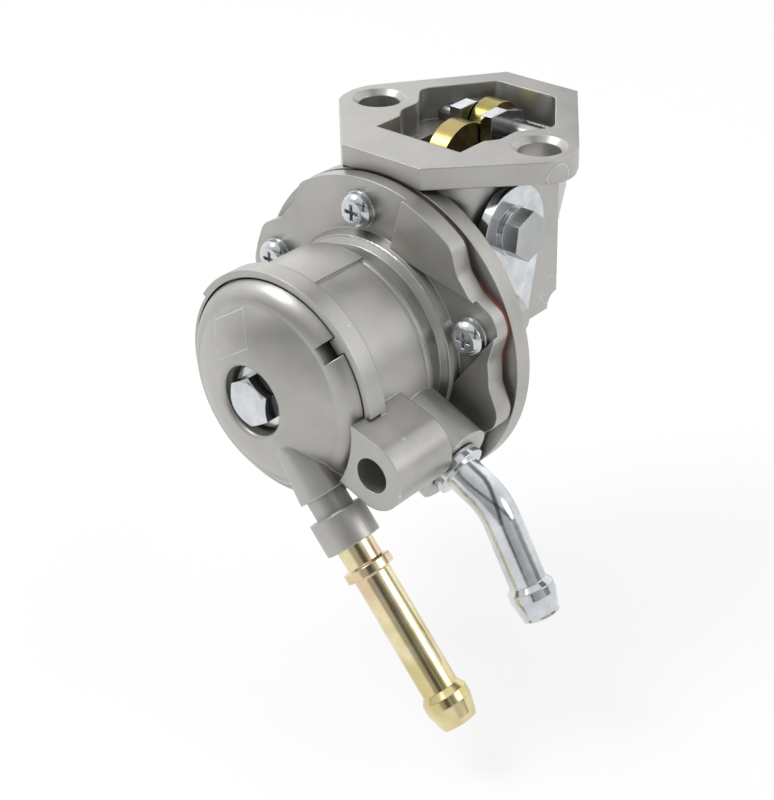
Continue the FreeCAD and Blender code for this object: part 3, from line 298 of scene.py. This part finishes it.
def soft_stuff(name, colour, rough):
    made, g = material(name)
    where = g.place()
    shade = tuple(0.6 * part for part in colour[:3]) + (1.0,)
    matt_skin(g, where, g.blend(g.noise(where, MOTTLES, detail=5.0), colour, shade), rough)
    return made


def red_cloth():
    """Coated cloth, red along its edge beside one screw and darkened with painted shade elsewhere."""
    made, g = material("diaphragm_cloth")
    where = g.place()
    height = g.add("SeparateXYZ", {0: where}).outputs["Z"]
    # Painted shade: the cloth turns near-black above and below the red band.
    dark = g.maths("MAXIMUM", g.span(height, RED_TOP, SHADE_TOP), g.span(height, RED_BOTTOM, SHADE_BOTTOM))
    weave = g.blend(g.noise(where, MOTTLES, detail=5.0), (0.34, 0.08, 0.06, 1), (0.2, 0.045, 0.035, 1))
    matt_skin(g, where, g.blend(dark, weave, (0.05, 0.042, 0.036, 1)), 0.7)
    return made


YELLOW_SHADES = ((0.58, 0.58, 0.24, 1), (0.68, 0.57, 0.29, 1), (0.82, 0.74, 0.47, 1), (0.72, 0.55, 0.37, 1))
# Darker copy of the yellow chromate: painted shade for the rocker arm, which is yellow zinc in shadow.
SHADED_YELLOW_TONES = ((0.26, 0.23, 0.07, 1), (0.40, 0.31, 0.11, 1), (0.46, 0.34, 0.15, 1))


def dress():
    worn_by = {
        cast_metal("cast_satin"): ("valve_body",),
        cast_metal("cast_cover", COVER_MARKS): ("cover",),
        cast_metal("cast_body", BODY_MARKS): ("pump_body",),
        zinc("bright_zinc", (0.50, 0.525, 0.545, 1), (0.74, 0.765, 0.785, 1), 0.10, 0.2): (
            "cover_bolt", "cover_bolt_washer", "flange_screws", "screw_washers", "outlet_tube",
            "link_lever", "primer_lever", "primer_washer"),
        zinc("satin_zinc", (0.40, 0.41, 0.415, 1), (0.52, 0.53, 0.53, 1), 0.3, 0.42): ("primer_bolt",),
        passivated("yellow_zinc", YELLOW_SHADES, 0.12, 0.22): ("inlet_tube",),
        # Painted shade: the rocker arm gets a darkened copy of the yellow chromate.
        passivated("yellow_zinc_painted_shade", SHADED_YELLOW_TONES, 0.2, 0.32): ("rocker_arm",),
        zinc("spring_steel", (0.34, 0.34, 0.35, 1), (0.5, 0.5, 0.5, 1), 0.25, 0.4): (
            "diaphragm_stem", "back_plate", "front_plate", "diaphragm_spring", "seal_retainer",
            "rocker_pin", "rocker_spring", "primer_spindle", "inlet_valve_spring", "outlet_valve_spring"),
        zinc("brass_gauze", (0.60, 0.44, 0.16, 1), (0.72, 0.56, 0.26, 1), 0.3, 0.45): (
            "inlet_valve_seat", "outlet_valve_seat", "strainer"),
        red_cloth(): ("diaphragm",),
        soft_stuff("black_rubber", (0.03, 0.03, 0.03, 1), 0.55): ("stem_seal", "spindle_seal"),
        soft_stuff("valve_plastic", (0.06, 0.06, 0.07, 1), 0.4): ("inlet_valve_disc", "outlet_valve_disc"),
        soft_stuff("gasket_fibre", (0.12, 0.11, 0.09, 1), 0.8): ("cover_gasket",),
    }
    for made, names in worn_by.items():
        for name in names:
            mesh = NODES[name].data
            mesh.materials.clear()
            mesh.materials.append(made)


def camera():
    back = Vector((math.sin(AZIMUTH) * math.cos(ELEVATION),
                   -math.cos(AZIMUTH) * math.cos(ELEVATION),
                   math.sin(ELEVATION)))
    right = Vector((math.cos(AZIMUTH), math.sin(AZIMUTH), 0.0))
    level = Matrix((right, back.cross(right), back)).transposed()
    data = bpy.data.cameras.new("camera")
    data.sensor_width = SENSOR
    data.lens = FOCAL_PIXELS * SENSOR / FRAME_HEIGHT
    data.shift_x = -AIM_OFFSET[0] / FRAME_HEIGHT
    data.shift_y = AIM_OFFSET[1] / FRAME_HEIGHT
    data.clip_start = CLIP_NEAR
    data.clip_end = CLIP_FAR
    made = bpy.data.objects.new("camera", data)
    turned = level @ Matrix.Rotation(ROLL, 3, "Z")
    made.matrix_world = Matrix.Translation(AIM + back * DISTANCE) @ turned.to_4x4()
    bpy.context.scene.collection.objects.link(made)
    bpy.context.scene.camera = made


def near_white(g, shader):
    """The given shader, lifted towards white for the camera and in reflections; shadows stay."""
    path = g.add("LightPath").outputs
    shown = g.maths("MAXIMUM", path["Is Camera Ray"], path["Is Glossy Ray"])
    shown = g.maths("MAXIMUM", shown, path["Is Transmission Ray"])
    white = g.add("Emission", {"Color": (1, 1, 1, 1), "Strength": 1.0}).outputs[0]
    return g.add("MixShader", {0: g.maths("MULTIPLY", shown, WHITE_SHARE), 1: shader, 2: white}).outputs[0]


def stage():
    bpy.ops.mesh.primitive_plane_add(size=FLOOR_SIDE, location=(0, 0, FLOOR_HEIGHT))
    floor = bpy.context.object
    floor.name = "floor"
    made, g = material("floor_white")
    plain = g.add("BsdfDiffuse", {"Color": tone(FLOOR_LEVEL)}).outputs[0]
    g.add("OutputMaterial", {"Surface": near_white(g, plain)})
    floor.data.materials.append(made)


def tent():
    """World light: white, graded from one side to the other, with narrow dark seams."""
    world = bpy.data.worlds.new("studio")
    world.use_nodes = True
    bpy.context.scene.world = world
    g = Graph(world.node_tree)
    direction = g.add("TexCoord").outputs["Generated"]
    along = g.vector("DOT_PRODUCT", direction, BRIGHT_SIDE)["Value"]
    light = g.span(along, -TENT_TURN, TENT_TURN, TENT_DIM, TENT_BRIGHT)
    for seam in SEAMS:
        off = g.maths("ABSOLUTE", g.vector("DOT_PRODUCT", direction, seam["across"])["Value"])
        left = g.span(off, seam["width"], SEAM_FADE * seam["width"], seam["light_left"], 1.0)
        light = g.maths("MULTIPLY", light, left)
    white = g.add("Background", {"Color": (1, 1, 1, 1), "Strength": light}).outputs[0]
    g.add("OutputWorld", {"Surface": white})


def lamp(name, place, size, power):
    data = bpy.data.lights.new(name, "AREA")
    data.shape = "DISK"
    data.size = size
    data.energy = power
    made = bpy.data.objects.new(name, data)
    made.location = place
    made.rotation_euler = (AIM - Vector(place)).to_track_quat("-Z", "Y").to_euler()
    bpy.context.scene.collection.objects.link(made)


bpy.context.scene.view_settings.view_transform = "Standard"
dress()
camera()
stage()
tent()
for lamp_name, lamp_sizes in LAMPS.items():
    lamp(lamp_name, **lamp_sizes)
